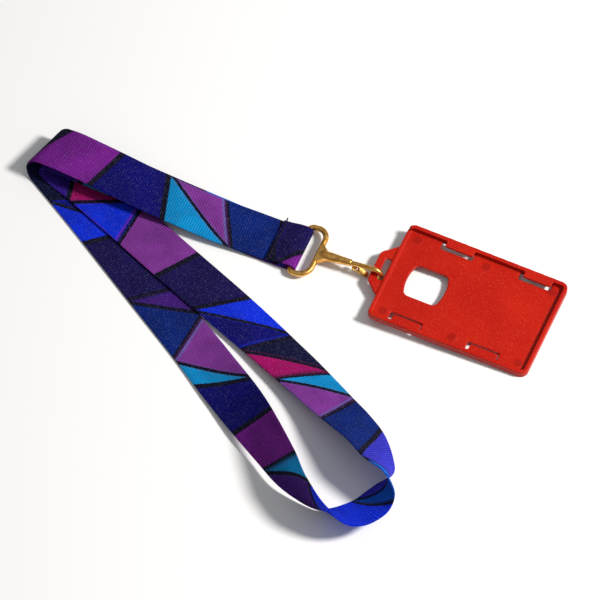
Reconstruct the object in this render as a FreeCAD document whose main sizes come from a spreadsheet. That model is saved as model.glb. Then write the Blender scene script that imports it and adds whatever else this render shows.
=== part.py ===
"""Lanyard badge holder: printed webbing strap, trigger hook and rigid card holder.

Millimetres, +Z up. The object lies on a surface at Z = 0, with +X along the card holder.
The origin is the centre of the object's footprint.
"""

import FreeCAD, Part

import math
import os

from FreeCAD import Placement, Rotation, Vector

# Driving dimensions: name, value, what it is.
SIZES = [
    ("strap_width", 25.4, "width of the webbing"),
    ("strap_thickness", 1.2, "thickness of the webbing"),
    ("hook_x", 6.4, "eye bar of the hook, along the object"),
    ("hook_y", 58.8, "middle plane of the hook"),
    ("hook_z", 2.95, "height of the eye bar"),
    ("hook_pitch", 8.8, "rise of the hook from its eye to its nose, degrees"),
    ("wrap_gap", 0.2, "clearance of the webbing round the eye bar"),
    ("eye_wire", 3.0, "diameter of the eye's wire"),
    ("eye_span", 32.5, "outside width of the eye"),
    ("eye_reach", 10.7, "eye bar to front bar, centre to centre"),
    ("eye_back_corner", 2.6, "corner radius beside the eye bar"),
    ("eye_front_corner", 6.0, "corner radius beside the stem"),
    ("web_width", 14.0, "width of the web where it joins the front bar"),
    ("web_end_width", 5.04, "width of the web where it meets the stem"),
    ("web_depth", 2.8, "thickness of the web"),
    ("neck_reach", 14.2, "eye bar to the start of the round stem"),
    ("neck_diameter", 5.6, "stem diameter at the neck"),
    ("collar_reach", 29.3, "eye bar to the end of the stem"),
    ("collar_diameter", 3.6, "stem diameter at the collar"),
    ("arm_wire", 2.6, "diameter of the arm"),
    ("bend_reach", 41.6, "eye bar to the centre of the bend"),
    ("bend_radius", 4.0, "centre-line radius of the bend"),
    ("nose_leg", 3.0, "straight return of the nose"),
    ("nose_tip", 1.8, "diameter at the end of the nose"),
    ("lug_reach", 31.0, "eye bar to the gate's rivet"),
    ("lug_drop", 2.5, "arm centre to the gate's rivet"),
    ("lug_radius", 1.4, "radius of the lug"),
    ("lug_width", 1.6, "thickness of the lug"),
    ("rivet_diameter", 1.2, "diameter of the rivet"),
    ("rivet_head_diameter", 1.92, "diameter of a rivet head"),
    ("rivet_head", 0.4, "thickness of a rivet head"),
    ("rivet_play", 0.05, "radial play of the gate on the rivet"),
    ("gate_width", 3.0, "width of the gate over its cheeks"),
    ("gate_depth", 1.2, "thickness of the gate"),
    ("stud_diameter", 2.2, "diameter of the thumb stud under the gate"),
    ("stud_height", 0.7, "how far the thumb stud stands out"),
    ("gate_play", 0.15, "side play of the gate on the lug"),
    ("gate_tip_gap", 1.0, "end of the gate to the end of the nose"),
    ("coil_wire", 0.3, "wire diameter of the gate spring"),
    ("coil_radius", 0.48, "centre-line radius of the spring's turns"),
    ("coil_pitch", 0.294, "one turn of the spring to the next"),
    ("coil_reach", 0.85, "edge of the lug to the middle of the spring"),
    ("coil_rise", 0.69, "top of the gate's web to the middle of the spring"),
    ("holder_y", 62.8, "middle line of the card holder"),
    ("holder_length", 89.3, "length of the card holder without its tab"),
    ("holder_width", 59.5, "width of the card holder"),
    ("holder_corner", 4.0, "outer corner radius"),
    ("plate_thickness", 1.6, "thickness of the back plate and the tab"),
    ("rim_height", 4.4, "height of the walls from the back face"),
    ("rim_width", 2.2, "thickness of the walls"),
    ("sill_height", 2.3, "height of the low sill on the open side"),
    ("sill_width", 1.6, "thickness of the sill"),
    ("lip_length", 15.5, "length of a retaining lip"),
    ("lip_reach", 3.4, "how far a lip stands in from its wall"),
    ("lip_thickness", 1.3, "thickness of a lip"),
    ("far_window_margin", 0.9, "how far the core window under a far lip reaches past its edge"),
    ("near_window_margin", 2.4, "the same for a near lip"),
    ("window_lead", 2.2, "how far a core window starts before its lip"),
    ("thumb_length", 21.0, "thumb hole, along the holder"),
    ("thumb_width", 19.2, "thumb hole, across the holder"),
    ("thumb_arc", 24.0, "radius of the thumb hole's bulging ends"),
    ("thumb_reach", 21.4, "open side to the centre of the thumb hole"),
    ("thumb_corner", 3.0, "corner radius of the thumb hole"),
    ("pin_mark", 5.0, "diameter of an ejector pin mark"),
    ("pin_mark_inset", 4.5, "wall to the centre of a pin mark"),
    ("pin_mark_height", 0.15, "how far a pin mark stands up"),
    ("tab_reach", 7.7, "how far the tab stands out"),
    ("tab_base", 34.0, "width of the tab at the holder"),
    ("tab_tip", 18.0, "width of the tab at its end"),
    ("tab_corner", 4.0, "corner radius of the tab"),
    ("slot_width", 3.2, "width of the slot in the tab"),
    ("slot_length", 14.0, "length of the slot in the tab"),
    ("slot_reach", 3.9, "hinge axis to the centre of the slot"),
    ("slot_inset", 2.1, "centre of the slot to the holder's open side"),
    ("stitch_count", 10, "stitches in the seam"),
    ("seam_inset", 1.4, "cut end of the hem to the seam"),
    ("seam_height", 4.32, "height of the stitches"),
    ("stitch_length", 1.7, "length of a stitch"),
    ("thread_diameter", 0.36, "diameter of the seam thread"),
]

# The strap's route, as stations: x, y, z of the centre line, then the heading and rise, in
# degrees, of the line across its width. It leaves the seam, goes round the eye bar, back
# under the top run, and round the whole loop to the seam again.
HEM = [
    (-7.3, 58.8, 3.35, -90, 0),
    (-3.5, 58.8, 3.6, -90, 0),
    (0, 58.8, 4.5, -90, 0),
    (3.8, 58.8, 5.25, -90, 0),
]
UNDER_RUN = [
    (3.5, 58.8, 0.65, -90, 0),
    (-7, 58.8, 0.65, -90, 0),
    (-22, 59.2, 0.7, -90, 0),
    (-39, 59.6, 1.6, -90, 0),
    (-60, 60.0, 3.2, -90, 0),
    (-82, 60.5, 5.2, -90, 0),
    (-100, 60.8, 7.0, -91, 0),
    (-116, 60.9, 8.3, -94, 0),
]
RIGHT_RUN = [
    (-110, 51.5, 2.3, -110, 0),
    (-86, 41.6, 2.3, -112, 0),
    (-52, 27.2, 2.3, -112, 0),
    (-30, 18.2, 2.3, -112, 0),
    (-14, 11.6, 2.2, -113, 0),
    (5, 3.8, 1.8, -114, 4),
    (24.2, -5.0, 2.7, -115, 9),
    (34, -9.6, 3.3, -118, 11),
    (47.6, -16.6, 4.8, -120, 15),
    (60.6, -24, 7.6, -122, 19),
]
END_LOOP = [
    (73.2, -31.4, 11.6, -124, 24),
    (85.4, -39.2, 14.4, -125, 32),
    (95.5, -47.8, 14.6, -124, 45),
    (103.6, -53.7, 13.4, -86, 60),
    (104.7, -61.0, 9.4, -35, 44),
    (103.1, -68.0, 7.2, -31, 31),
    (100.2, -74.3, 6.9, -35, 29),
    (95.6, -79.9, 7.1, -39, 29),
    (88.6, -85.0, 9.0, -43, 38),
    (80.0, -85.4, 12.6, -50, 62),
    (68.2, -80.5, 14.2, -2, 83),
    (54.1, -71.7, 14.7, 60, 64),
]
LEFT_RUN = [
    (40.0, -60.8, 13.0, 60, 51),
    (25.2, -49.4, 10.4, 57, 36),
    (10.6, -38.0, 6.3, 56, 21),
    (-3, -28, 3.2, 56, 9),
    (-19, -16.8, 1.4, 56, 3),
    (-36, -5.7, 0.7, 56, 0),
    (-50, 3.3, 0.7, 57, 0),
    (-72, 17.6, 0.7, 57, 0),
    (-108, 40.8, 0.7, 60, 0),
    (-128.5, 53.4, 0.7, 69, 0),
]
TOP_RUN = [
    (-112, 60.1, 12.2, 85, 0),
    (-100, 59.4, 10.9, 89, 1),
    (-82, 58.4, 8.8, 90, 1),
    (-60, 57.8, 6.2, 90, 0),
    (-39, 57.6, 4.2, 90, 0),
    (-22, 58.4, 2.9, 90, 0),
    (-7, 58.8, 2.0, 90, 0),
    (3, 58.8, 2.0, 90, 0),
]

# The two folds at the strap's far end: where the half turn starts, its radius, the headings
# of its axis and of its outer side, and the angle between the strap and the axis.
FOLD_STEPS = 8
INNER_FOLD = ((-129.4, 61.2, 8.5), 3.1, -101.6, 168.4, 78.6)
OUTER_FOLD = ((-133.0, 56.1, 0.7), 6.2, 71.7, 161.7, 75.6)

COIL_TURNS = 3  # turns of the gate spring

# Where the lips and pin marks sit: distance from the open side, and which long side.
FAR_LIPS = (29.5, 73.0)
NEAR_LIPS = (21.0, 64.0)
PIN_MARKS = ((7.0, 1), (45.5, 1), (82.5, 1), (7.0, -1), (45.5, -1), (82.5, -1))

doc = FreeCAD.newDocument("badge_holder")
sheet = doc.addObject("Spreadsheet::Sheet", "Sizes")
for row, (alias, value, meaning) in enumerate(SIZES, start=1):
    sheet.set(f"A{row}", alias)
    sheet.set(f"B{row}", str(value))
    sheet.set(f"C{row}", meaning)
    sheet.setAlias(f"B{row}", alias)
doc.recompute()


def size(alias):
    """The value of one driving dimension."""
    return float(sheet.get(alias))


def bound(kind, name, **sizes):
    """A Part object whose properties follow the sheet: each size is an expression."""
    item = doc.addObject(kind, name)
    for prop, expression in sizes.items():
        prop = prop.replace("__", ".")
        text = str(expression)
        for alias, _, _ in SIZES:
            text = _with_sheet(text, alias)
        item.setExpression(prop, text)
    return item


def _with_sheet(text, alias):
    """text with the bare alias written as a cell of the sheet."""
    words = text.replace("(", " ( ").replace(")", " ) ").split()
    return " ".join(f"Sizes.{alias}" if word == alias else word for word in words)


def block(name, x, y, z, length, width, height):
    """A box from its lowest corner; every argument is a number or an expression."""
    return bound(
        "Part::Box",
        name,
        Length=length,
        Width=width,
        Height=height,
        Placement__Base__x=x,
        Placement__Base__y=y,
        Placement__Base__z=z,
    )


def rod(name, radius, height, x, y, z, axis, angle=None):
    """A cylinder that starts at a point and runs along an axis."""
    item = bound(
        "Part::Cylinder",
        name,
        Radius=radius,
        Height=height,
        Placement__Base__x=x,
        Placement__Base__y=y,
        Placement__Base__z=z,
    )
    if angle:
        item.Angle = angle
    item.Placement.Rotation = Rotation(Vector(0, 0, 1), axis)
    return item


def fused(name, parts):
    item = doc.addObject("Part::MultiFuse", name)
    item.Shapes = parts
    item.Refine = True
    return item


def cut(name, base, tools):
    item = doc.addObject("Part::Cut", name)
    item.Base = base
    item.Tool = tools[0] if len(tools) == 1 else fused(name + "_tools", tools)
    item.Refine = True
    return item


def rounded(name, base, edges, radius):
    """base with the chosen edges filleted."""
    doc.recompute()
    item = doc.addObject("Part::Fillet", name)
    item.Base = base
    numbers = [i for i, edge in enumerate(base.Shape.Edges, start=1) if edges(edge)]
    item.Edges = [(number, radius, radius) for number in numbers]
    return item


def upright(edge):
    """True for a straight edge along Z."""
    ends = [vertex.Point for vertex in edge.Vertexes]
    return len(ends) == 2 and (ends[1] - ends[0]).cross(Vector(0, 0, 1)).Length < 1e-6


# --- webbing strap ---------------------------------------------------------------------


def direction(heading, rise=0):
    """The unit vector with a compass heading from +X and a rise above level."""
    heading, rise = math.radians(heading), math.radians(rise)
    flat = math.cos(rise)
    return Vector(flat * math.cos(heading), flat * math.sin(heading), math.sin(rise))


def fold(start, radius, axis, outward, slant, turn):
    """Stations round a half turn of webbing about a level axis.

    The strap meets the axis at the angle slant, so it creeps along the axis as it turns.
    turn is 1 for a fold that comes from below, and -1 for one that comes from above.
    """
    creep = radius / math.tan(math.radians(slant))
    stations = []
    for step in range(FOLD_STEPS + 1):
        angle = math.pi * step / FOLD_STEPS
        point = Vector(*start)
        point += direction(outward) * (radius * math.sin(angle))
        point += direction(axis) * (creep * angle)
        point += Vector(0, 0, turn * radius * (1 - math.cos(angle)))
        stations.append((point.x, point.y, point.z, axis, 0))
    return stations


def section(before, station, after):
    """The rectangular cross-section of the webbing at one station, as a closed wire.

    A section that crosses the strap at a slant is that much longer.
    """
    centre = Vector(*station[:3])
    along = (Vector(*after[:3]) - Vector(*before[:3])).normalize()
    across = direction(*station[3:])
    normal = along.cross(across)
    half_width = across * (size("strap_width") / 2 / normal.Length)
    half_thickness = normal.normalize() * (size("strap_thickness") / 2)
    corners = [
        centre + half_width + half_thickness,
        centre - half_width + half_thickness,
        centre - half_width - half_thickness,
        centre + half_width - half_thickness,
    ]
    return Part.makePolygon(corners + corners[:1])


def strap_sections(route):
    """One cross-section for each station of a whole route."""
    last = len(route) - 1
    return [
        section(route[max(i - 1, 0)], route[i], route[min(i + 1, last)])
        for i in range(last + 1)
    ]


def webbing(name, sections):
    """A stretch of webbing: ruled faces from each cross-section to the next, and two ends."""
    faces = [Part.Face(sections[0]), Part.Face(sections[-1])]
    for first, second in zip(sections, sections[1:]):
        for side, opposite in zip(first.Edges, second.Edges):
            faces.append(Part.makeRuledSurface(side, opposite).Faces[0])
    shell = Part.makeShell(faces)
    shell.sewShape()
    solid = Part.makeSolid(shell)
    if solid.Volume < 0:
        solid.reverse()
    item = doc.addObject("Part::Feature", name)
    item.Shape = solid
    item.Placement = Placement()
    return item


strap = []

# The webbing leaves the eye bar at its top and at its bottom, so both runs start there.
wrap_radius = size("eye_wire") / 2 + size("wrap_gap") + size("strap_thickness") / 2
bar_top = (size("hook_x"), size("hook_y"), size("hook_z") + wrap_radius, -90, 0)
bar_foot = (size("hook_x"), size("hook_y"), size("hook_z") - wrap_radius, -90, 0)

strap.append(webbing("webbing_hem", strap_sections(HEM + [bar_top])))

spans = [
    ("webbing_under_run", [bar_foot] + UNDER_RUN),
    ("webbing_inner_fold", fold(*INNER_FOLD, turn=-1)),
    ("webbing_right_run", RIGHT_RUN),
    ("webbing_end_loop", END_LOOP),
    ("webbing_left_run", LEFT_RUN),
    ("webbing_outer_fold", fold(*OUTER_FOLD, turn=1)),
    ("webbing_top_run", TOP_RUN),
]
loop_sections = strap_sections([station for _, stations in spans for station in stations])
start = 0
for name, stations in spans:
    end = start + len(stations)
    # Each stretch runs on to the first section of the next, so the two meet face to face.
    strap.append(webbing(name, loop_sections[start : end + 1]))
    start = end

wrap_outer = rod(
    "wrap_outer",
    "eye_wire / 2 + wrap_gap + strap_thickness",
    "strap_width",
    "hook_x",
    "hook_y + strap_width / 2",
    "hook_z",
    Vector(0, -1, 0),
)
wrap_inner = rod(
    "wrap_inner",
    "eye_wire / 2 + wrap_gap",
    "strap_width + 2",
    "hook_x",
    "hook_y + strap_width / 2 + 1",
    "hook_z",
    Vector(0, -1, 0),
)
wrap_back = block(
    "wrap_back",
    "hook_x - 10",
    "hook_y - strap_width",
    "hook_z - 10",
    10,
    "strap_width * 2",
    20,
)
eye_wrap = cut("webbing_eye_wrap", wrap_outer, [wrap_inner, wrap_back])
strap.append(eye_wrap)

# One row of stitches across the strap, through the three layers beside the hook.
stitch_pitch = size("strap_width") / size("stitch_count")
stitch_start = size("hook_y") - size("strap_width") / 2 + stitch_pitch / 2
stitches = []
for number in range(int(size("stitch_count"))):
    stitch = rod(
        f"stitch_{number + 1}",
        "thread_diameter / 2",
        "stitch_length",
        HEM[0][0] + size("seam_inset"),
        stitch_start + number * stitch_pitch - size("stitch_length") / 2,
        "seam_height",
        Vector(0, 1, 0),
    )
    stitches.append(stitch)
seam = doc.addObject("Part::Compound", "seam_stitches")
seam.Links = stitches

# --- trigger hook, drawn with its eye bar on the Y axis and its stem along +X -----------

half_span = "( eye_span - eye_wire ) / 2"
eye = [
    rod(
        "eye_bar",
        "eye_wire / 2",
        "eye_span - eye_wire - 2 * eye_back_corner",
        0,
        "0 - ( eye_span - eye_wire ) / 2 + eye_back_corner",
        0,
        Vector(0, 1, 0),
    ),
    rod(
        "eye_front",
        "eye_wire / 2",
        "eye_span - eye_wire - 2 * eye_front_corner",
        "eye_reach",
        "0 - ( eye_span - eye_wire ) / 2 + eye_front_corner",
        0,
        Vector(0, 1, 0),
    ),
]
for side, sign in (("left", 1), ("right", -1)):
    eye.append(
        rod(
            f"eye_{side}",
            "eye_wire / 2",
            "eye_reach - eye_back_corner - eye_front_corner",
            "eye_back_corner",
            f"{sign} * {half_span}",
            0,
            Vector(1, 0, 0),
        )
    )
    for end, corner, centre_x, turn in (
        ("back", "eye_back_corner", "eye_back_corner", 90 if sign > 0 else 180),
        ("front", "eye_front_corner", "eye_reach - eye_front_corner", 0 if sign > 0 else 270),
    ):
        elbow = bound(
            "Part::Torus",
            f"eye_{end}_{side}",
            Radius1=corner,
            Radius2="eye_wire / 2",
            Placement__Base__x=centre_x,
            Placement__Base__y=f"{sign} * ( {half_span} - {corner} )",
        )
        elbow.Angle3 = 90
        elbow.Placement.Rotation = Rotation(Vector(0, 0, 1), turn)
        eye.append(elbow)

web = bound(
    "Part::Wedge",
    "web",
    Xmin="0 - web_width / 2",
    Xmax="web_width / 2",
    Ymin="eye_reach - eye_wire / 4",
    Ymax="neck_reach + 1",
    Zmin="0 - web_depth / 2",
    Zmax="web_depth / 2",
    X2min="0 - web_end_width / 2",
    X2max="web_end_width / 2",
    Z2min="0 - web_depth / 2",
    Z2max="web_depth / 2",
)
web.Placement.Rotation = Rotation(Vector(0, 0, 1), -90)

neck = bound(
    "Part::Cone",
    "neck",
    Radius1="eye_wire / 2",
    Radius2="neck_diameter / 2",
    Height="neck_reach - eye_reach",
    Placement__Base__x="eye_reach",
)
stem = bound(
    "Part::Cone",
    "stem",
    Radius1="neck_diameter / 2",
    Radius2="collar_diameter / 2",
    Height="collar_reach - neck_reach",
    Placement__Base__x="neck_reach",
)
for cone in (neck, stem):
    cone.Placement.Rotation = Rotation(Vector(0, 0, 1), Vector(1, 0, 0))

arm = rod(
    "arm",
    "arm_wire / 2",
    "bend_reach - collar_reach",
    "collar_reach",
    0,
    0,
    Vector(1, 0, 0),
)
bend = bound(
    "Part::Torus",
    "bend",
    Radius1="bend_radius",
    Radius2="arm_wire / 2",
    Placement__Base__x="bend_reach",
    Placement__Base__z="0 - bend_radius",
)
bend.Angle3 = 180
bend.Placement.Rotation = Rotation(Vector(1, 1, 1), -120)
nose = bound(
    "Part::Cone",
    "nose",
    Radius1="nose_tip / 2",
    Radius2="arm_wire / 2",
    Height="nose_leg",
    Placement__Base__x="bend_reach - nose_leg",
    Placement__Base__z="0 - 2 * bend_radius",
)
nose.Placement.Rotation = Rotation(Vector(0, 0, 1), Vector(1, 0, 0))
lug = rod(
    "lug",
    "lug_radius",
    "lug_width",
    "lug_reach",
    "0 - lug_width / 2",
    "0 - lug_drop",
    Vector(0, 1, 0),
)
lug_web = block(
    "lug_web",
    "lug_reach - lug_radius",
    "0 - lug_width / 2",
    "0 - lug_drop",
    "2 * lug_radius",
    "lug_width",
    "lug_drop",
)
rivet_hole = rod(
    "rivet_hole",
    "rivet_diameter / 2",
    "lug_width + 2",
    "lug_reach",
    "0 - lug_width / 2 - 1",
    "0 - lug_drop",
    Vector(0, 1, 0),
)
casting = fused("casting", eye + [web, neck, stem, arm, bend, nose, lug, lug_web])
hook_body = cut("hook_body", casting, [rivet_hole])

rivet_shank = rod(
    "rivet_shank",
    "rivet_diameter / 2",
    "gate_width + 2 * gate_play",
    "lug_reach",
    "0 - gate_width / 2 - gate_play",
    "0 - lug_drop",
    Vector(0, 1, 0),
)
rivet_heads = [
    rod(
        f"rivet_head_{number}",
        "rivet_head_diameter / 2",
        "rivet_head",
        "lug_reach",
        start,
        "0 - lug_drop",
        Vector(0, 1, 0),
    )
    for number, start in enumerate(
        ("gate_width / 2 + gate_play", "0 - gate_width / 2 - gate_play - rivet_head"), start=1
    )
]
gate_rivet = fused("gate_rivet", [rivet_shank] + rivet_heads)

# The gate slants from the rivet down to the end of the nose, so it is drawn level along +X
# from the rivet and turned down.
gate_run = math.hypot(
    size("bend_reach") - size("nose_leg") - size("lug_reach"),
    2 * size("bend_radius") - size("lug_drop"),
)
gate_slope = math.atan2(
    2 * size("bend_radius") - size("lug_drop"),
    size("bend_reach") - size("nose_leg") - size("lug_reach"),
)
hub = rod(
    "gate_hub",
    "lug_radius",
    "gate_width",
    0,
    "0 - gate_width / 2",
    0,
    Vector(0, 1, 0),
)
bar = block(
    "gate_bar",
    0,
    "0 - gate_width / 2",
    "0 - lug_radius",
    f"{gate_run} - gate_tip_gap",
    "gate_width",
    "gate_depth",
)
thumb_stud = rod(
    "thumb_stud",
    "stud_diameter / 2",
    "stud_height + gate_depth / 2",
    gate_run / 2,
    0,
    "0 - lug_radius - stud_height",
    Vector(0, 0, 1),
)
lug_slot = block(
    "lug_slot",
    "0 - lug_radius - 1",
    "0 - lug_width / 2 - gate_play",
    "0 - lug_radius - 1",
    "2 * lug_radius + 1.6",
    "lug_width + 2 * gate_play",
    "2 * lug_radius + 2",
)
gate_bore = rod(
    "gate_bore",
    "rivet_diameter / 2 + rivet_play",
    "gate_width + 2",
    0,
    "0 - gate_width / 2 - 1",
    0,
    Vector(0, 1, 0),
)
gate = cut("gate", fused("gate_blank", [hub, bar, thumb_stud]), [lug_slot, gate_bore])

# The torsion spring sits beside the lug's foot. It is drawn as close turns, without its legs.
gate_spring = doc.addObject("Part::MultiFuse", "gate_spring")
coils = []
middle = (COIL_TURNS - 1) // 2
for number in range(COIL_TURNS):
    turn = bound(
        "Part::Torus",
        f"coil_{number + 1}",
        Radius1="coil_radius",
        Radius2="coil_wire / 2",
        Placement__Base__x="lug_radius + coil_reach",
        Placement__Base__y=f"{number - middle} * coil_pitch",
        Placement__Base__z="0 - lug_radius + gate_depth + coil_rise",
    )
    turn.Placement.Rotation = Rotation(Vector(0, 0, 1), Vector(0, 1, 0))
    coils.append(turn)
gate_spring.Shapes = coils

# --- card holder, drawn with the hinge axis on Y and its middle line along +X -----------

edge = "( slot_reach + slot_inset )"
foot = "0 - plate_thickness / 2"
outline = rounded(
    "holder_outline",
    block(
        "holder_block",
        edge,
        "0 - holder_width / 2",
        foot,
        "holder_length",
        "holder_width",
        "rim_height",
    ),
    upright,
    size("holder_corner"),
)
pocket = rounded(
    "pocket_rounded",
    block(
        "pocket",
        f"{edge} + sill_width",
        "0 - holder_width / 2 + rim_width",
        "plate_thickness / 2",
        "holder_length - sill_width - rim_width",
        "holder_width - 2 * rim_width",
        "rim_height",
    ),
    upright,
    size("holder_corner") - size("rim_width"),
)
open_side = block(
    "open_side",
    f"{edge} - 1",
    "0 - holder_width / 2 + rim_width",
    f"{foot} + sill_height",
    "sill_width + 1.01",
    "holder_width - 2 * rim_width",
    "rim_height",
)

tab_blank = bound(
    "Part::Wedge",
    "tab_blank",
    Xmin="0 - tab_base / 2",
    Xmax="tab_base / 2",
    Ymin=0,
    Ymax="tab_reach + 1",
    Zmin=0,
    Zmax="plate_thickness",
    X2min="0 - tab_tip / 2",
    X2max="tab_tip / 2",
    Z2min=0,
    Z2max="plate_thickness",
    Placement__Base__x=f"{edge} + 1",
    Placement__Base__z=foot,
)
tab_blank.Placement.Rotation = Rotation(Vector(0, 0, 1), 90)
tab = rounded(
    "tab",
    tab_blank,
    lambda line: upright(line) and line.Vertexes[0].Point.x < 0,
    size("tab_corner"),
)


def long_slot(name, depth):
    """The stadium-shaped slot across the tab."""
    straight = block(
        name + "_straight",
        "slot_reach - slot_width / 2",
        "0 - ( slot_length - slot_width ) / 2",
        f"{foot} - 1",
        "slot_width",
        "slot_length - slot_width",
        depth,
    )
    ends = [
        rod(
            f"{name}_end_{number}",
            "slot_width / 2",
            depth,
            "slot_reach",
            f"{sign} * ( slot_length - slot_width ) / 2",
            f"{foot} - 1",
            Vector(0, 0, 1),
        )
        for number, sign in enumerate((1, -1), start=1)
    ]
    return [straight] + ends


def lip(name, reach, side):
    """A lip at the top of a long wall, and the core window under it."""
    wall = "( holder_width / 2 - rim_width )"
    inner = f"{wall} - lip_reach" if side > 0 else f"0 - {wall} - 0.5"
    ledge = block(
        name,
        f"{edge} + {reach} - lip_length / 2",
        inner,
        f"{foot} + rim_height - lip_thickness",
        "lip_length",
        "lip_reach + 0.5",
        "lip_thickness",
    )
    margin = "far_window_margin" if side > 0 else "near_window_margin"
    window_side = f"{wall} - lip_reach - {margin}" if side > 0 else f"0 - {wall}"
    window = block(
        name + "_window",
        f"{edge} + {reach} - lip_length / 2 - window_lead",
        window_side,
        f"{foot} - 1",
        "lip_length + window_lead",
        f"lip_reach + {margin}",
        "plate_thickness + 1.5",
    )
    return ledge, window


lips = [lip(f"far_lip_{i}", reach, 1) for i, reach in enumerate(FAR_LIPS, start=1)]
lips += [lip(f"near_lip_{i}", reach, -1) for i, reach in enumerate(NEAR_LIPS, start=1)]

# The thumb hole is a barrel: straight along its long sides, bulging at its two ends.
thumb_arcs = [
    rod(
        f"thumb_arc_{number}",
        "thumb_arc",
        "plate_thickness + 2",
        f"{edge} + thumb_reach + {sign} * ( thumb_arc - thumb_length / 2 )",
        0,
        f"{foot} - 1",
        Vector(0, 0, 1),
    )
    for number, sign in enumerate((1, -1), start=1)
]
thumb_block = block(
    "thumb_block",
    f"{edge} + thumb_reach - thumb_length",
    "0 - thumb_width / 2",
    f"{foot} - 1",
    "2 * thumb_length",
    "thumb_width",
    "plate_thickness + 2",
)
thumb = doc.addObject("Part::MultiCommon", "thumb")
thumb.Shapes = thumb_arcs + [thumb_block]
thumb_hole = rounded("thumb_hole", thumb, upright, size("thumb_corner"))

marks = [
    rod(
        f"pin_mark_{number}",
        "pin_mark / 2",
        "pin_mark_height + 0.2",
        f"{edge} + {reach}",
        f"{side} * ( holder_width / 2 - rim_width - pin_mark_inset )",
        "plate_thickness / 2 - 0.2",
        Vector(0, 0, 1),
    )
    for number, (reach, side) in enumerate(PIN_MARKS, start=1)
]

tray = cut("tray", outline, [pocket, open_side])
openings = long_slot("tab_slot", "plate_thickness + 3") + [thumb_hole]
openings += [window for _, window in lips]
body = cut("holder_body", fused("holder_blank", [tray, tab] + marks), openings)
card_holder = fused("card_holder", [body] + [ledge for ledge, _ in lips])

# --- assembly --------------------------------------------------------------------------

doc.recompute()

hook_place = Placement(
    Vector(size("hook_x"), size("hook_y"), size("hook_z")),
    Rotation(Vector(0, 1, 0), -size("hook_pitch")),
)
bend_centre = hook_place.multVec(Vector(size("bend_reach"), 0, -size("bend_radius")))
rivet_centre = hook_place.multVec(Vector(size("lug_reach"), 0, -size("lug_drop")))
gate_place = Placement(
    rivet_centre,
    Rotation(Vector(0, 1, 0), math.degrees(gate_slope) - size("hook_pitch")),
)
# The far end of the card holder rests on the surface, and its tab hangs on the bend.
far_reach = size("slot_reach") + size("slot_inset") + size("holder_length")
drop = bend_centre.z - size("plate_thickness") / 2
holder_place = Placement(
    Vector(bend_centre.x, size("holder_y"), bend_centre.z),
    Rotation(Vector(0, 1, 0), math.degrees(math.asin(drop / far_reach))),
)

hook_body.Placement = hook_place
gate_rivet.Placement = hook_place
gate.Placement = gate_place
gate_spring.Placement = gate_place
card_holder.Placement = holder_place
doc.recompute()

parts = strap + [seam, hook_body, gate, gate_rivet, gate_spring, card_holder]

for item in doc.Objects:
    if "Invalid" in item.State or "Error" in item.State:
        raise RuntimeError(f"{item.Name} failed: {item.State}")

os.makedirs("parts", exist_ok=True)
for item in parts:
    shape = item.Shape
    if shape.isNull() or not shape.isValid():
        raise RuntimeError(f"{item.Name} has no valid shape")
    shape.exportStep(os.path.join("parts", item.Name + ".step"))
    box = shape.BoundBox
    print(f"{item.Name}: volume {shape.Volume:.1f}, x {box.XMin:.1f}..{box.XMax:.1f},"
          f" y {box.YMin:.1f}..{box.YMax:.1f}, z {box.ZMin:.2f}..{box.ZMax:.2f}")
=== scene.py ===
"""The lanyard badge holder as it looks: printed webbing, a gold trigger hook and a red card holder.

The CAD frame is in metres. Lengths here are in millimetres until MM turns them into metres.
The strap is described by two lengths: s along it from the cut end at the hem, v across it from its middle.
"""

import math

import bpy
import numpy as np
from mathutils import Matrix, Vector


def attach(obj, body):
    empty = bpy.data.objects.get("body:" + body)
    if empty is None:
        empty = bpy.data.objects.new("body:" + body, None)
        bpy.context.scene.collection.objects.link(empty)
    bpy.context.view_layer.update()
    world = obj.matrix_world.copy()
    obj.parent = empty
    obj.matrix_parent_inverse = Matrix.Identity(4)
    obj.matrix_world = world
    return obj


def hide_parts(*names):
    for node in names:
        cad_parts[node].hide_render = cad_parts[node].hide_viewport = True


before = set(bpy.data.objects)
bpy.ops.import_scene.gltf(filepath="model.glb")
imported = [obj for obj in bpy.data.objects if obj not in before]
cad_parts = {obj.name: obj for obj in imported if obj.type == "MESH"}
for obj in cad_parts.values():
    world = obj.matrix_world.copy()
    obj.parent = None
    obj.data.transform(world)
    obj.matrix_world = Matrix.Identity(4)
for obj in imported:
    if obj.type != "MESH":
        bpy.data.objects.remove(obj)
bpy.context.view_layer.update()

MM = 0.001
SEED = 7

# ---- strap: sizes and route --------------------------------------------------------------------
STRAP_WIDTH = 25.4
STRAP_THICKNESS = 1.2
STRAP_LENGTH = 890.2      # length of the route below
RIB_PITCH = 1.3
RIB_ROWS = 4              # mesh rows in one rib
RIB_RELIEF = 0.09         # depth of the groove between two ribs
EDGE_COLUMNS = (12.7, 12.45, 11.9)   # columns near a selvedge, which is thinner than the middle
EDGE_THICKNESS = (0.45, 0.8, 1.0)    # share of the full thickness there
MIDDLE_COLUMNS = 11
YARN_PITCH = 0.62
YARN_TOP_HIGHLIGHT = 0.05        # how strong the painted highlight on a yarn's top is
YARN_GLINT_STRENGTH = 0.22     # how strong a painted glint fleck on a yarn top is
VALLEY_SHADE = 0.5        # how much painted shade darkens the groove between two ribs
WEAVE_DEPTH = 0.16        # height of the weave's bumps
PRINT_WAVER = 0.9         # full width of the waver in the print's edges
DYE_CLOUD = 14.0          # size of the broad unevenness of the dye

BAR = (6.4, 58.8, 2.95)   # middle of the hook's eye bar
WRAP_RADIUS = 2.3         # middle line of the webbing round the eye bar
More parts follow.
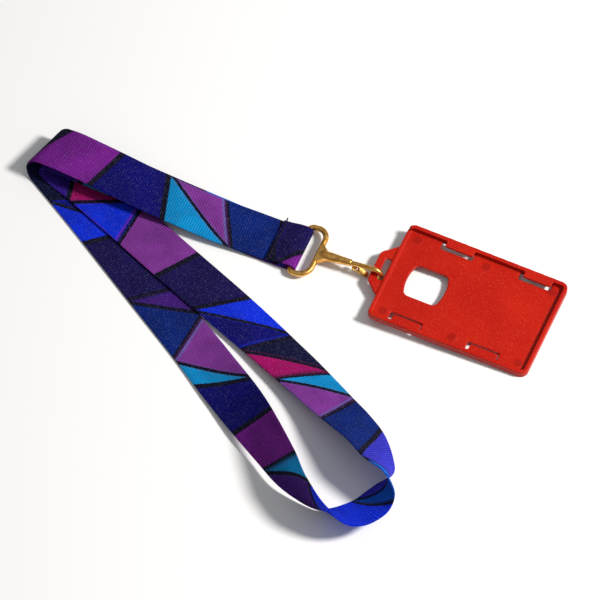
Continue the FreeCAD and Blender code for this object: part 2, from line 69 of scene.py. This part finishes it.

# Stations of the strap's middle line: x, y, z, heading and rise of the line across the strap, in degrees.
# Those of the end loop and of the runs beside it follow a line that a scratch program fitted to the strap's
# edges in the photograph. They were then rounded, and moved. A route chosen by hand is better.
HEM = [
    (-7.3, 58.8, 3.35, -90, 0),
    (-3.5, 58.8, 3.6, -90, 0),
    (0, 58.8, 4.5, -90, 0),
    (3.8, 58.8, 5.25, -90, 0),
]
UNDER_RUN = [
    (3.5, 58.8, 0.65, -90, 0),
    (-7, 58.8, 0.65, -90, 0),
    (-22, 59.2, 0.7, -90, 0),
    (-39, 59.6, 1.6, -90, 0),
    (-60, 60.0, 3.2, -90, 0),
    (-82, 60.5, 5.2, -90, 0),
    (-100, 60.8, 7.0, -91, 0),
    (-116, 60.9, 8.3, -94, 0),
]
RIGHT_RUN = [
    (-110, 51.5, 2.3, -110, 0),
    (-86, 41.6, 2.3, -112, 0),
    (-52, 27.2, 2.3, -112, 0),
    (-30, 18.2, 2.3, -112, 0),
    (-14, 11.6, 2.2, -113, 0),
    (5, 3.8, 1.8, -114, 4),
    (24.2, -5.0, 2.7, -115, 9),
    (34, -9.6, 3.3, -118, 11),
    (47.6, -16.6, 4.8, -120, 15),
    (60.6, -24, 7.6, -122, 19),
]
END_LOOP = [
    (73.2, -31.4, 11.6, -124, 24),
    (85.4, -39.2, 14.4, -125, 32),
    (95.5, -47.8, 14.6, -124, 45),
    (103.6, -53.7, 13.4, -86, 60),
    (104.7, -61.0, 9.4, -35, 44),
    (103.1, -68.0, 7.2, -31, 31),
    (100.2, -74.3, 6.9, -35, 29),
    (95.6, -79.9, 7.1, -39, 29),
    (88.6, -85.0, 9.0, -43, 38),
    (80.0, -85.4, 12.6, -50, 62),
    (68.2, -80.5, 14.2, -2, 83),
    (54.1, -71.7, 14.7, 60, 64),
]
LEFT_RUN = [
    (40.0, -60.8, 13.0, 60, 51),
    (25.2, -49.4, 10.4, 57, 36),
    (10.6, -38.0, 6.3, 56, 21),
    (-3, -28, 3.2, 56, 9),
    (-19, -16.8, 1.4, 56, 3),
    (-36, -5.7, 0.7, 56, 0),
    (-50, 3.3, 0.7, 57, 0),
    (-72, 17.6, 0.7, 57, 0),
    (-108, 40.8, 0.7, 60, 0),
    (-128.5, 53.4, 0.7, 69, 0),
]
TOP_RUN = [
    (-112, 60.1, 12.2, 85, 0),
    (-100, 59.4, 10.9, 89, 1),
    (-82, 58.4, 8.8, 90, 1),
    (-60, 57.8, 6.2, 90, 0),
    (-39, 57.6, 4.2, 90, 0),
    (-22, 58.4, 2.9, 90, 0),
    (-7, 58.8, 2.0, 90, 0),
    (3, 58.8, 2.0, 90, 0),
]
# Folds: start, radius, heading of the crease, heading out of the fold, slant, and 1 for up or -1 for down.
FOLD_STEPS = 8
INNER_FOLD = ((-129.4, 61.2, 8.5), 3.1, -101.6, 168.4, 78.6, -1)
OUTER_FOLD = ((-133.0, 56.1, 0.7), 6.2, 71.7, 161.7, 75.6, 1)

# ---- strap: print ------------------------------------------------------------------------------
# A plain run of slanted panels in cool colours, with dark gaps. About half of the panels are split in two.
SHARP = 0.45              # width of a crisp edge in the print
SOFT = 4.0                # width of a blurred one
INK = (9, 8, 20)          # the gaps between panels
PANEL_COLOURS = [
    (19, 11, 70),
    (4, 43, 212),
    (62, 20, 112),
    (0, 94, 198),
    (8, 12, 46),
    (112, 26, 132),
    (5, 4, 98),
    (0, 135, 196),
    (50, 21, 132),
    (160, 6, 94),
    (0, 32, 108),
    (50, 48, 182),
    (122, 50, 140),
]
PANEL_LENGTH = (24, 42)   # shortest and longest
PANEL_LEAN = (3, 9)       # how far a panel's end leans along the strap at its edge
PANEL_GAP = 3.0
PANEL_OVERRUN = 1         # how far the panels run past the strap's edges
SPLIT_SHARE = 0.5         # share of the panels that are split in two
SPLIT_COLOUR_STEP = 5     # steps through the colours from one half to the other


# ---- shader helpers ----------------------------------------------------------------------------
def linear(colour):
    """An 8-bit display colour as the linear RGBA that a shader socket takes."""
    shares = [channel / 255 for channel in colour]
    return [c / 12.92 if c <= 0.04045 else ((c + 0.055) / 1.055) ** 2.4 for c in shares] + [1.0]


class Shader:
    """A material's node tree, with short ways to add nodes to it."""

    def __init__(self, name):
        self.material = bpy.data.materials.new(name)
        self.material.use_nodes = True
        self.tree = self.material.node_tree
        self.surface = self.tree.nodes["Principled BSDF"]

    def add(self, kind, inputs=(), **properties):
        """A new node. Inputs go by index or name, and an input that is a socket is linked."""
        made = self.tree.nodes.new("ShaderNode" + kind)
        for name, value in properties.items():
            setattr(made, name, value)
        for key, value in inputs.items() if isinstance(inputs, dict) else enumerate(inputs):
            if isinstance(value, bpy.types.NodeSocket):
                self.tree.links.new(value, made.inputs[key])
            else:
                made.inputs[key].default_value = value
        return made

    def math(self, operation, *values):
        return self.add("Math", values, operation=operation).outputs[0]

    def dot(self, vector, other):
        return self.add("VectorMath", (vector, other), operation="DOT_PRODUCT").outputs["Value"]

    def blend(self, factor, first, second, mode="MIX"):
        """first where factor is 0, second where it is 1. Both are colours."""
        made = self.add("Mix", data_type="RGBA", blend_type=mode)
        for socket, value in ((made.inputs[0], factor), (made.inputs[6], first), (made.inputs[7], second)):
            if isinstance(value, bpy.types.NodeSocket):
                self.tree.links.new(value, socket)
            else:
                socket.default_value = value
        return made.outputs[2]

    def ramp(self, value, low, high, to_low=0.0, to_high=1.0, kind="SMOOTHSTEP"):
        """to_low where value is low or less, to_high where it is high or more."""
        made = self.add("MapRange", (value, low, high, to_low, to_high), interpolation_type=kind)
        return made.outputs[0]

    def place(self):
        """Position in the object's own frame, in millimetres."""
        spot = self.add("TexCoord").outputs["Object"]
        return self.add("VectorMath", {0: spot, 3: 1 / MM}, operation="SCALE").outputs[0]

    def noise(self, spot, size, detail=2.0, stretch=(1, 1, 1)):
        """Noise with features of about that size, in the units of spot."""
        scaled = self.add("VectorMath", (spot, [1 / (size * k) for k in stretch]), operation="MULTIPLY")
        made = self.add("TexNoise", {"Vector": scaled.outputs[0], "Scale": 1.0, "Detail": detail})
        return made.outputs["Fac"]

    def bump(self, height, depth):
        """Bumps depth millimetres high, from a height of 0 to 1."""
        made = self.add("Bump", {"Height": height, "Distance": depth * MM, "Strength": 1.0})
        self.tree.links.new(made.outputs[0], self.surface.inputs["Normal"])

    def link(self, socket, name):
        self.tree.links.new(socket, self.surface.inputs[name])

    def set(self, **values):
        """Fixed values of the surface's own sockets, by name in lower case."""
        for name, value in values.items():
            self.surface.inputs[name.replace("_", " ").title().replace("Ior", "IOR")].default_value = value


# ---- strap -------------------------------------------------------------------------------------
def direction(heading, rise=0.0):
    """Unit vectors at a heading in the floor plane and a rise above it, in degrees."""
    heading = np.radians(heading)
    rise = np.radians(rise)
    flat = np.cos(rise)
    return np.stack([flat * np.cos(heading), flat * np.sin(heading), np.sin(rise) + 0 * heading], axis=-1)


def fold(start, radius, crease, outward, slant, turn):
    """Stations of a half turn of the strap about a slanted crease, creeping along it."""
    creep = radius / math.tan(math.radians(slant))
    stations = []
    for angle in np.linspace(0, math.pi, FOLD_STEPS + 1):
        spot = np.array(start) + direction(outward) * radius * math.sin(angle)
        spot = spot + direction(crease) * creep * angle
        spot[2] += turn * radius * (1 - math.cos(angle))
        stations.append((*spot, crease, 0))
    return stations


def wrap():
    """Stations of the half turn round the eye bar, from its top to its foot."""
    x, y, z = BAR
    angles = np.linspace(0, math.pi, FOLD_STEPS + 1)
    return [(x + WRAP_RADIUS * math.sin(a), y, z + WRAP_RADIUS * math.cos(a), -90, 0) for a in angles]


def through(x, points, query):
    """A smooth curve through points at x, read at query, with slopes from the neighbours."""
    steps = np.diff(x)
    slopes = np.diff(points, axis=0) / steps[:, None]
    share = (steps[:-1] / (steps[:-1] + steps[1:]))[:, None]
    tangents = np.concatenate([slopes[:1], slopes[:-1] * (1 - share) + slopes[1:] * share, slopes[-1:]])
    i = np.clip(np.searchsorted(x, query, side="right") - 1, 0, len(x) - 2)
    t = ((query - x[i]) / steps[i])[:, None]
    step = steps[i][:, None]
    return (
        (1 + 2 * t) * (1 - t) ** 2 * points[i]
        + t * (1 - t) ** 2 * step * tangents[i]
        + t * t * (3 - 2 * t) * points[i + 1]
        + t * t * (t - 1) * step * tangents[i + 1]
    )


def unit(vectors):
    return vectors / np.linalg.norm(vectors, axis=-1, keepdims=True)


class Route:
    """The strap's middle line, with the line across the strap and the face normal at each point of it."""

    STEP = 0.4    # from one point of the middle line to the next
    ROUNDS = 6    # for place() to find a station

    def __init__(self, *runs):
        stations = np.array([station for run in runs for station in run], float)
        chord = np.r_[0, np.cumsum(np.linalg.norm(np.diff(stations[:, :3], axis=0), axis=1))]
        query = np.arange(0, chord[-1], self.STEP)
        self.middle = through(chord, stations[:, :3], query)
        self.across = unit(through(chord, direction(stations[:, 3], stations[:, 4]), query))
        self.s = np.r_[0, np.cumsum(np.linalg.norm(np.diff(self.middle, axis=0), axis=1))]
        self.along = unit(np.gradient(self.middle, self.s, axis=0))
        self.normal = unit(np.cross(self.along, self.across))
        self.slant = (self.along * self.across).sum(axis=1)

    def read(self, values, s):
        return np.stack([np.interp(s, self.s, values[:, i]) for i in range(3)], axis=-1)

    def place(self, s, v):
        """Point and normal at s along the flat strap and v across it.
        The line across is slanted in the folds, so the station that holds the point is found in rounds."""
        station = s
        for _ in range(self.ROUNDS):
            slant = np.interp(station, self.s, self.slant)
            reach = v / np.sqrt(1 - slant**2)
            station = s - reach * slant
        beyond = station - np.clip(station, 0, self.s[-1])
        spot = self.read(self.middle, station) + reach[..., None] * unit(self.read(self.across, station))
        spot = spot + beyond[..., None] * self.read(self.along, station)
        return spot, unit(self.read(self.normal, station))


def make_mesh(name, points, faces):
    """A smooth-shaded mesh object from points in millimetres."""
    mesh = bpy.data.meshes.new(name)
    mesh.from_pydata((np.asarray(points) * MM).tolist(), [], faces)
    mesh.shade_smooth()
    mesh.validate()
    made = bpy.data.objects.new(name, mesh)
    bpy.context.scene.collection.objects.link(made)
    return made


def grid_faces(rows, columns, start, flip):
    """Quads between neighbouring points of a grid whose points count from start."""
    corner = start + np.arange(rows - 1)[:, None] * columns + np.arange(columns - 1)[None, :]
    quads = np.stack([corner, corner + columns, corner + columns + 1, corner + 1], axis=-1).reshape(-1, 4)
    return quads[:, ::-1] if flip else quads


def webbing_mesh(route):
    """The whole strap as one closed ribbon with raised ribs across it."""
    s = np.arange(0, STRAP_LENGTH, RIB_PITCH / RIB_ROWS)
    inner = np.linspace(-EDGE_COLUMNS[-1], EDGE_COLUMNS[-1], MIDDLE_COLUMNS + 2)[1:-1]
    v = np.r_[-np.array(EDGE_COLUMNS), inner, np.array(EDGE_COLUMNS)[::-1]]
    share = np.r_[EDGE_THICKNESS, np.ones(MIDDLE_COLUMNS), EDGE_THICKNESS[::-1]]
    grid_s, grid_v = np.meshgrid(s, v, indexing="ij")
    spot, normal = route.place(grid_s, grid_v)
    groove = RIB_RELIEF * (0.5 - 0.5 * np.cos(2 * np.pi * grid_s / RIB_PITCH))
    half = (STRAP_THICKNESS / 2 - groove) * share[None, :]
    points = np.concatenate([
        (spot + normal * half[..., None]).reshape(-1, 3),
        (spot - normal * half[..., None]).reshape(-1, 3),
    ])
    rows, columns = grid_s.shape
    back = rows * columns
    faces = [grid_faces(rows, columns, 0, True), grid_faces(rows, columns, back, False)]
    row = np.arange(rows - 1) * columns
    for column, flip in ((0, False), (columns - 1, True)):
        side = np.stack([row, row + back, row + back + columns, row + columns], axis=-1) + column
        faces.append(side[:, ::-1] if flip else side)
    cell = np.arange(columns - 1)
    for first, flip in ((0, True), (back - columns, False)):
        end = np.stack([cell, cell + back, cell + back + 1, cell + 1], axis=-1) + first
        faces.append(end[:, ::-1] if flip else end)
    made = make_mesh("webbing", points, np.concatenate(faces).tolist())
    flat = np.stack([grid_s, grid_v, np.ones_like(grid_s)], axis=-1).reshape(-1, 3)
    flat = np.concatenate([flat, flat]).astype(np.float32)
    made.data.attributes.new("flat", "FLOAT_VECTOR", "POINT").data.foreach_set("vector", flat.ravel())
    return made


def panels(random):
    """The print as facets: colour, softness of the edge and corners (s, v). Later ones lie on top."""
    edge = STRAP_WIDTH / 2 + PANEL_OVERRUN
    facets = []
    start, lean = 0.0, random.uniform(*PANEL_LEAN)
    while start < STRAP_LENGTH:
        stop = start + random.uniform(*PANEL_LENGTH)
        next_lean = random.uniform(*PANEL_LEAN) * random.choice((-1, 1))
        near_top = (start + lean, edge)
        near_foot = (start - lean, -edge)
        far_top = (stop - PANEL_GAP + next_lean, edge)
        far_foot = (stop - PANEL_GAP - next_lean, -edge)
        turn = len(facets)
        colours = [PANEL_COLOURS[(turn + step) % len(PANEL_COLOURS)] for step in (0, SPLIT_COLOUR_STEP)]
        facets.append((colours[0], SHARP, [near_top, far_top, far_foot, near_foot]))
        if random.uniform() < SPLIT_SHARE:
            facets.append((colours[1], SOFT, [near_top, far_top, far_foot]))
            across = (PANEL_GAP / 2, 0)
            ends = [np.subtract(near_top, across), np.add(near_top, across)]
            ends += [np.add(far_foot, across), np.subtract(far_foot, across)]
            facets.append((INK, SHARP, [tuple(end) for end in ends]))
        start, lean = stop, next_lean
    return facets


def inside_facet(shader, flat, corners, soft):
    """1 inside the convex facet and 0 outside, with an edge that is soft millimetres wide."""
    centre = np.mean(corners, axis=0)
    nearest = None
    for first, second in zip(corners, corners[1:] + corners[:1]):
        edge = np.subtract(second, first)
        normal = unit(np.array([-edge[1], edge[0]], float))
        normal = normal * np.sign(normal @ (centre - first))
        inward = shader.dot(flat, (normal[0], normal[1], -float(normal @ first)))
        nearest = inward if nearest is None else shader.math("MINIMUM", nearest, inward)
    return shader.ramp(nearest, -soft / 2, soft / 2)


def webbing_material(random):
    """Printed webbing: the panels, soaked into ribs and yarns that follow the flat strap."""
    shader = Shader("printed_webbing")
    flat = shader.add("Attribute", attribute_name="flat").outputs["Vector"]
    colour = linear(INK)
    # the print bleeds a little into the weave, so its edges waver
    waver = shader.add("TexNoise", {"Vector": flat, "Scale": 0.9, "Detail": 2.0}).outputs["Color"]
    waver = shader.add("VectorMath", (waver, (0.5, 0.5, 0.5)), operation="SUBTRACT").outputs[0]
    reach = (PRINT_WAVER, PRINT_WAVER, 0.0)
    waver = shader.add("VectorMath", (waver, reach), operation="MULTIPLY").outputs[0]
    printed_at = shader.add("VectorMath", (flat, waver), operation="ADD").outputs[0]
    for facet_colour, soft, corners in panels(random):
        inside = inside_facet(shader, printed_at, corners, soft)
        colour = shader.blend(inside, colour, linear(facet_colour))
    # broad unevenness of the dye
    tone = shader.ramp(shader.noise(flat, DYE_CLOUD), 0.3, 0.7, 0.82, 1.12)
    grey = shader.add("CombineColor", (tone, tone, tone)).outputs[0]
    colour = shader.blend(1.0, colour, grey, "MULTIPLY")
    # yarns run along the strap and float over one rib at a time, in a brick order
    split = shader.add("SeparateXYZ", (flat,))
    ribs = shader.math("MULTIPLY", split.outputs["X"], 1 / RIB_PITCH)
    yarns = shader.math("MULTIPLY", split.outputs["Y"], 1 / YARN_PITCH)
    yarns = shader.math("MULTIPLY_ADD", shader.math("FLOOR", ribs), 0.5, yarns)
    valley = shader.ramp(shader.math("PINGPONG", ribs, 0.5), 0.22, 0.5)
    yarn_top = shader.ramp(shader.math("PINGPONG", yarns, 0.5), 0.05, 0.4)
    # where the painted highlight and the painted glints go: the yarn tops, away from the grooves
    yarn_top_highlight = shader.math("MULTIPLY", yarn_top, shader.math("SUBTRACT", 1.0, valley))
    height = shader.math("MULTIPLY_ADD", valley, -0.5, shader.math("MULTIPLY", yarn_top, 0.5))
    shader.bump(height, WEAVE_DEPTH)
    # painted highlight on the yarn tops, painted shade in the grooves between ribs, and painted glint flecks
    # on the yarn tops
    colour = shader.blend(shader.math("MULTIPLY", yarn_top_highlight, YARN_TOP_HIGHLIGHT), colour, linear((110, 110, 175)))
    # painted shade in the grooves between ribs
    colour = shader.blend(shader.math("MULTIPLY", valley, VALLEY_SHADE), colour, linear((4, 4, 12)))
    # painted glint flecks on the yarn tops, which are also a little shinier there
    yarn_glint = shader.ramp(shader.noise(flat, 0.6, 1.0, (1.5, 0.8, 1)), 0.54, 0.7)
    yarn_glint = shader.math("MULTIPLY", yarn_glint, shader.math("MULTIPLY", yarn_top_highlight, YARN_GLINT_STRENGTH))
    colour = shader.blend(yarn_glint, colour, linear((140, 140, 175)))
    shader.link(colour, "Base Color")
    shader.link(shader.ramp(yarn_glint, 0.0, 0.3, 0.72, 0.5), "Roughness")
    shader.set(specular_ior_level=0.03)
    return shader.material


# ---- seam --------------------------------------------------------------------------------------
STITCHES = 10
SEAM_X = -5.9
SEAM_Y = (46.9, 70.9)     # from the first stitch to the last
SEAM_Z = 4.1              # about the upper face of the hem there
THREAD_DIAMETER = 0.72
STITCH_GAP = 0.45         # bare webbing at each end of a stitch's share of the row
STITCH_SHIFT = 0.12       # how far a stitch strays from the row
STITCH_SINK = 0.3         # how far its ends go into the webbing
STITCH_RISE = 0.2         # how far it stands out
STITCH_BOW = (0.06, 0.08)   # how far its middle bows along the strap and upwards
# The loose tail, from the end of the row.
THREAD_TAIL = [(0, -0.1, -0.3), (-0.1, 0.5, 0.2), (-0.2, 1.1, 0.3), (-0.2, 1.5, 0.2), (-0.3, 1.9, 0.35)]


def tube(name, lines, diameter):
    """Round thread or wire along smooth lines of points in millimetres, as one curve object."""
    curve = bpy.data.curves.new(name, "CURVE")
    curve.dimensions = "3D"
    curve.bevel_depth = diameter / 2 * MM
    curve.bevel_resolution = 3
    curve.use_fill_caps = True
    for line in lines:
        spline = curve.splines.new("NURBS")
        spline.points.add(len(line) - 1)
        for point, spot in zip(spline.points, line):
            point.co = (*(Vector(spot) * MM), 1.0)
        spline.order_u = 3
        spline.use_endpoint_u = True
    made = bpy.data.objects.new(name, curve)
    bpy.context.scene.collection.objects.link(made)
    return made


def seam_lines(random):
    """One low arch for each stitch, and the loose tail at the end of the row."""
    first, last = SEAM_Y
    pitch = (last - first) / STITCHES
    lines = []
    for i in range(STITCHES):
        start = first + i * pitch + STITCH_GAP
        stop = first + (i + 1) * pitch - STITCH_GAP
        x = SEAM_X + random.uniform(-STITCH_SHIFT, STITCH_SHIFT)
        sunk = SEAM_Z - STITCH_SINK
        top = SEAM_Z + STITCH_RISE
        lines.append([
            (x, start, sunk),
            (x, start, top),
            (x + STITCH_BOW[0], (start + stop) / 2, top + STITCH_BOW[1]),
            (x, stop, top),
            (x, stop, sunk),
        ])
    lines.append([(SEAM_X + dx, last + dy, SEAM_Z + dz) for dx, dy, dz in THREAD_TAIL])
    return lines


def thread_material():
    """Dark thread with a slanted twist, with painted shade in the twist's grooves and painted highlight on its
    ridges.
    """
    shader = Shader("seam_thread")
    wave = {"Vector": shader.place(), "Scale": 5.0, "Distortion": 1.0}
    twist = shader.add("TexWave", wave, bands_direction="DIAGONAL")
    # painted light: the twist's grooves darker and its ridges paler, following the bump
    shade = shader.ramp(twist.outputs["Fac"], 0.2, 0.8)
    shader.link(shader.blend(shade, linear((6, 6, 18)), linear((34, 32, 66))), "Base Color")
    shader.bump(twist.outputs["Fac"], 0.05)
    shader.set(roughness=0.6, specular_ior_level=0.3)
    return shader.material


# ---- castings, spring and their metal ----------------------------------------------------------
def cast_copy(name, node, voxel, rounds):
    """A copy of a CAD node with the soft edges of a casting or moulding.

    It is remeshed in voxels of that many millimetres and smoothed in that many rounds."""
    made = bpy.data.objects.new(name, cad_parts[node].data.copy())
    bpy.context.scene.collection.objects.link(made)
    made.data.materials.clear()
    remesh = made.modifiers.new("skin", "REMESH")
    remesh.mode = "VOXEL"
    remesh.voxel_size = voxel * MM
    remesh.use_smooth_shade = True
    polish = made.modifiers.new("polish", "SMOOTH")
    polish.factor = 0.5
    polish.iterations = rounds
    return made


SPRING_CENTRE = (39.65, 58.8, 4.63)   # middle of the CAD spring
SPRING_RADIUS = 0.48
SPRING_WIRE = 0.3
SPRING_LENGTH = 0.56
SPRING_TURNS = 2.6
SPRING_POINTS = 32


def spring_line():
    """The gate spring's wire: a close helix about a line along Y."""
    x, y, z = SPRING_CENTRE
    line = []
    for share in np.linspace(0, 1, SPRING_POINTS):
        angle = 2 * math.pi * SPRING_TURNS * share
        out = SPRING_RADIUS * math.cos(angle)
        up = SPRING_RADIUS * math.sin(angle)
        line.append((x + out, y + (share - 0.5) * SPRING_LENGTH, z + up))
    return line


def metal_material(name, bright, dark, roughness):
    """Polished metal with soft ripples, fine scratches and darker spots."""
    shader = Shader(name)
    spot = shader.place()
    ripple = shader.noise(spot, 3.2, 1.0, (2.0, 1, 1))
    scratch = shader.noise(spot, 0.3, 2.0, (8.0, 1, 1))
    tone = shader.ramp(shader.noise(spot, 2.6, 2.0), 0.35, 0.68)
    shader.link(shader.blend(tone, linear(bright), linear(dark)), "Base Color")
    shader.link(shader.ramp(scratch, 0.3, 0.75, roughness, roughness + 0.14, "LINEAR"), "Roughness")
    shader.bump(ripple, 0.3)
    shader.set(metallic=1.0)
    return shader.material


# ---- card holder -------------------------------------------------------------------------------
PIN_MARKS = [(x, y) for x in (61.2, 99.6, 136.6) for y in (39.75, 85.85)]
PIN_RADIUS = 2.4
PIN_BLUR = 0.25           # width of the soft edge of a mark
# how much painted shade darkens a pin mark
MARK_SHADE = 0.45


def plastic_material():
    """Satin red moulding: fine spark-eroded grain, painted glints and pin marks darkened with painted shade.
    """
    shader = Shader("red_moulding")
    spot = shader.place()
    cloud = shader.ramp(shader.noise(spot, 26.0), 0.3, 0.7)
    colour = shader.blend(cloud, linear((166, 14, 0)), linear((176, 22, 1)))
    grain = shader.noise(spot, 0.3, 2.0)
    # painted glints: pale dots on the red
    painted_glint = shader.ramp(shader.noise(spot, 0.5, 1.0), 0.6, 0.72)
    colour = shader.blend(shader.math("MULTIPLY", painted_glint, 0.4), colour, linear((238, 90, 60)))
    # painted shade: the round marks of the ejector pins are darkened, and only on the upper face
    plan = shader.add("VectorMath", (spot, (1, 1, 0)), operation="MULTIPLY").outputs[0]
    mark = 0.0
    for x, y in PIN_MARKS:
        reach = shader.add("VectorMath", (plan, (x, y, 0)), operation="DISTANCE").outputs["Value"]
        mark = shader.math("MAXIMUM", mark, shader.ramp(reach, PIN_RADIUS - PIN_BLUR, PIN_RADIUS, 1.0, 0.0))
    facing = shader.add("SeparateXYZ", (shader.add("TexCoord").outputs["Normal"],)).outputs["Z"]
    mark = shader.math("MULTIPLY", mark, shader.ramp(facing, 0.3, 0.7, 0.0, MARK_SHADE))
    colour = shader.blend(mark, colour, linear((120, 4, 0)))
    shader.link(colour, "Base Color")
    shader.link(shader.ramp(grain, 0.3, 0.7, 0.36, 0.5, "LINEAR"), "Roughness")
    shader.bump(grain, 0.035)
    shader.set(specular_ior_level=0.18)
    return shader.material


def paint(piece, material):
    piece.data.materials.clear()
    piece.data.materials.append(material)


# ---- build -------------------------------------------------------------------------------------
random = np.random.default_rng(SEED)
route = Route(
    HEM, wrap(), UNDER_RUN, fold(*INNER_FOLD), RIGHT_RUN, END_LOOP, LEFT_RUN, fold(*OUTER_FOLD), TOP_RUN
)

webbing = webbing_mesh(route)
paint(webbing, webbing_material(random))
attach(webbing, "strap")
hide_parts(*sorted(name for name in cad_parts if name.startswith("webbing_")))

seam = tube("seam_thread", seam_lines(random), THREAD_DIAMETER)
paint(seam, thread_material())
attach(seam, "strap")
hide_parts("seam_stitches")

gold = metal_material("gold_plate", bright=(242, 188, 104), dark=(206, 146, 66), roughness=0.27)
hook = cast_copy("hook", "hook_body", voxel=0.17, rounds=5)
paint(hook, gold)
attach(hook, "hook")
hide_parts("hook_body")

gate = cast_copy("gate_lever", "gate", voxel=0.14, rounds=3)
paint(gate, gold)
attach(gate, "gate")
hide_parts("gate")

rivet = cast_copy("rivet", "gate_rivet", voxel=0.07, rounds=3)
paint(rivet, metal_material("gold_pin", bright=(214, 164, 80), dark=(160, 110, 40), roughness=0.22))
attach(rivet, "hook")
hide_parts("gate_rivet")

spring = tube("coil_spring", [spring_line()], SPRING_WIRE)
paint(spring, metal_material("spring_steel", bright=(190, 184, 172), dark=(120, 112, 100), roughness=0.3))
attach(spring, "gate")
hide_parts("gate_spring")

holder = cast_copy("card_holder_moulding", "card_holder", voxel=0.34, rounds=3)
paint(holder, plastic_material())
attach(holder, "holder")
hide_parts("card_holder")

# ---- floor, light and camera -------------------------------------------------------------------
CAMERA_AZIMUTH = 23.0
CAMERA_ELEVATION = 58.5
CAMERA_TARGET = Vector((0.018, 0.032, 0))
CAMERA_DISTANCE = 10.0    # metres
CAMERA_LENS = 1164.0
FLOOR_SIZE = 8.0          # metres
SKY_AT_HORIZON = 0.12     # strength of the sky's light
SKY_OVERHEAD = 0.44
SKY_FULL_HEIGHT = 0.9     # height in the sky from which it is at its brightest


def toward(azimuth, elevation):
    a, e = math.radians(azimuth), math.radians(elevation)
    return Vector((math.sin(a) * math.cos(e), -math.cos(a) * math.cos(e), math.sin(e)))


def area_light(name, azimuth, elevation, distance, size, power, colour):
    """A round lamp that shines at the camera's target. Lengths are in metres, and power in watts."""
    lamp = bpy.data.lights.new(name, "AREA")
    lamp.shape = "DISK"
    lamp.size = size
    lamp.energy = power
    lamp.color = colour
    made = bpy.data.objects.new(name, lamp)
    back = toward(azimuth, elevation)
    made.location = CAMERA_TARGET + back * distance
    made.rotation_euler = back.to_track_quat("Z", "Y").to_euler()
    bpy.context.scene.collection.objects.link(made)


def pale_floor():
    """A pale paper floor under the object."""
    half = FLOOR_SIZE / 2 / MM
    corners = [(-half, -half, 0), (half, -half, 0), (half, half, 0), (-half, half, 0)]
    floor = make_mesh("floor", corners, [(0, 1, 2, 3)])
    shader = Shader("pale_paper")
    tooth = shader.noise(shader.place(), 0.8, 3.0)
    shader.link(shader.blend(tooth, linear((236, 236, 236)), linear((241, 241, 241))), "Base Color")
    shader.set(roughness=0.9, specular_ior_level=0.0)
    paint(floor, shader.material)


def studio():
    """A key light from the right, and a sky that is brighter overhead than at the horizon."""
    area_light(
        "key",
        azimuth=104,
        elevation=45,
        distance=1.6,
        size=0.32,
        power=33,
        colour=(1.0, 0.975, 0.94),
    )
    world = bpy.data.worlds.new("studio")
    bpy.context.scene.world = world
    world.use_nodes = True
    nodes, links = world.node_tree.nodes, world.node_tree.links
    height = nodes.new("ShaderNodeSeparateXYZ")
    links.new(nodes.new("ShaderNodeTexCoord").outputs["Generated"], height.inputs[0])
    sky = nodes.new("ShaderNodeMapRange")
    links.new(height.outputs["Z"], sky.inputs[0])
    sky_range = (0.0, SKY_FULL_HEIGHT, SKY_AT_HORIZON, SKY_OVERHEAD)
    for index, value in enumerate(sky_range, start=1):
        sky.inputs[index].default_value = value
    links.new(sky.outputs[0], nodes["Background"].inputs["Strength"])
    nodes["Background"].inputs["Color"].default_value = (0.97, 0.985, 1.0, 1.0)


def camera():
    back = toward(CAMERA_AZIMUTH, CAMERA_ELEVATION)
    made = bpy.data.objects.new("camera", bpy.data.cameras.new("camera"))
    made.data.lens = CAMERA_LENS
    made.data.clip_start = 0.1
    made.location = CAMERA_TARGET + back * CAMERA_DISTANCE
    made.rotation_euler = back.to_track_quat("Z", "Y").to_euler()
    bpy.context.scene.collection.objects.link(made)
    bpy.context.scene.camera = made


pale_floor()
studio()
camera()
bpy.context.scene.view_settings.view_transform = "Standard"
